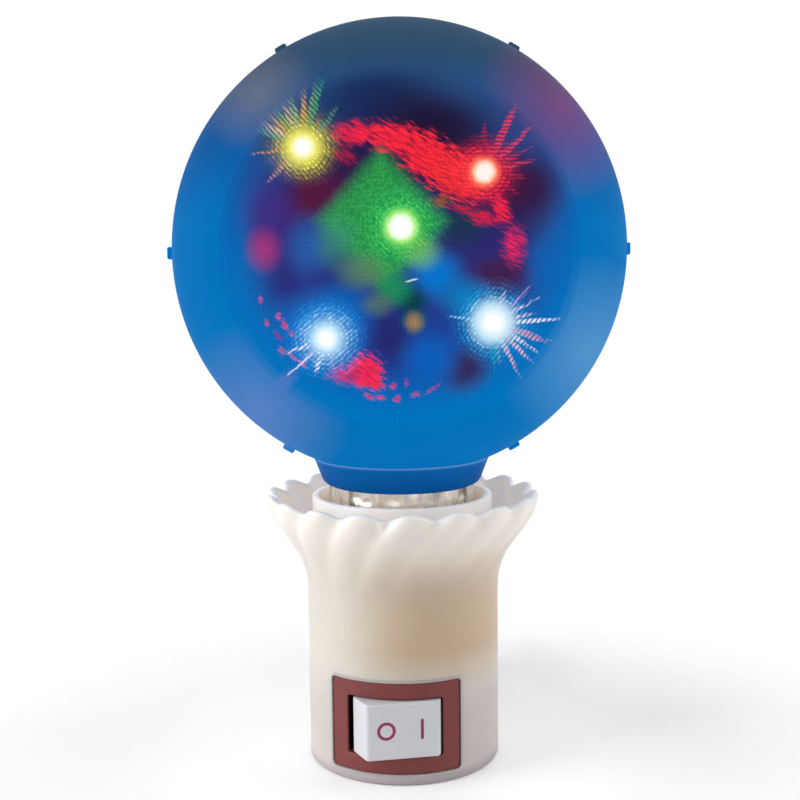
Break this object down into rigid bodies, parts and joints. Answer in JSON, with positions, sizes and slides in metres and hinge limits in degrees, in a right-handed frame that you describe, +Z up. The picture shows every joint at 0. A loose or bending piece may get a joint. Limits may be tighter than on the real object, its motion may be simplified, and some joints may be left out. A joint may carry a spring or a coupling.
{
  "type": "plug-in night lamp",
  "caption": "Plug-in night lamp: blue LED globe bulb screwed into a cream petal-rimmed lampholder with a rocker switch in front and mains pins behind.",
  "frame": {"origin": "centre of the base's flat underside, on the lamp's vertical axis", "axes": "+Z up along the lamp's axis; the rocker switch faces -Y and the mains pins point along +Y; +X to the right of someone facing the switch"},
  "size_m": [0.0816, 0.1025, 0.1321],
  "materials": {
    "cream_plastic": "satin, slightly translucent",
    "red_brown_plastic": "satin",
    "white_plastic": "satin",
    "black_plastic": "matte",
    "globe_blue": "satin, translucent",
    "neck_blue": "satin",
    "nickel": "bright nickel plate",
    "screw_steel": "zinc plated",
    "socket_brass": "pressed sheet",
    "circuit_board": "solder mask",
    "foil": "bright embossed foil",
    "star_film": "clear embossed film",
    "led_yellow": "lit",
    "led_red": "lit",
    "led_green": "lit",
    "led_white": "lit",
    "capacitor_yellow": "dipped",
    "capacitor_blue": "sleeved",
    "wire_blue": "matte",
    "wire_brown": "matte",
    "wire_black": "matte",
    "wire_red": "matte"
  },
  "bodies": {
    "base": {"sleeve": "cream_plastic", "base_cap": "cream_plastic", "base_screws": "screw_steel", "holder_tube": "cream_plastic", "socket_shell": "socket_brass", "centre_contact": "socket_brass", "socket_rivets": "screw_steel", "switch_surround": "red_brown_plastic", "switch_body": "black_plastic", "terminal_common": "socket_brass", "terminal_load": "socket_brass", "plug_body": "cream_plastic", "plug_pins": "nickel", "neutral_wire": "wire_blue", "live_wire": "wire_brown", "switched_wire": "wire_black"},
    "rocker": {"rocker": "white_plastic", "switch_plunger": "white_plastic", "plunger_spring": "screw_steel"},
    "contact_blade": {"contact_blade": "socket_brass"},
    "lamp_contact": {"cap_contact": "socket_brass"},
    "lamp": {"globe_front_shell": "globe_blue", "globe_rear_shell": "globe_blue", "neck_collar": "neck_blue", "screw_cap": "nickel", "cap_insulator": "black_plastic", "board_stand": "white_plastic", "board_screws": "screw_steel", "led_board": "circuit_board", "reflector_foil": "foil", "led_yellow": "led_yellow", "led_red": "led_red", "led_green": "led_green", "led_white_left": "led_white", "led_white_right": "led_white", "film_drum": "white_plastic", "star_film": "star_film", "driver_board": "circuit_board", "film_capacitor": "capacitor_yellow", "bridge_rectifier": "black_plastic", "smoothing_capacitor": "capacitor_blue", "led_leads": "wire_red"}
  },
  "joints": [
    {"name": "rocker_pivot", "type": "hinge", "parent": "base", "child": "rocker", "pos_m": [0, -0.012, 0.0102], "axis": [0, 0, 1], "range_deg": [-32, 0]},
    {"name": "blade_pivot", "type": "hinge", "parent": "base", "child": "contact_blade", "pos_m": [0, -0.0064, 0.0102], "axis": [0, 0, 1], "range_deg": [0, 16]},
    {"name": "lamp_lift", "type": "slide", "parent": "base", "child": "lamp_contact", "axis": [0, 0, 1], "range_m": [0, 0.0091]},
    {"name": "lamp_turn", "type": "hinge", "parent": "lamp_contact", "child": "lamp", "pos_m": [0, 0, 0.05], "axis": [0, 0, 1], "range_deg": [0, 900]}
  ],
  "couplings": [
    {"joint": "blade_pivot", "follows": "rocker_pivot", "ratio": -0.5},
    {"joint": "lamp_lift", "follows": "lamp_turn", "m_per_rad": 0.00057757}
  ]
}
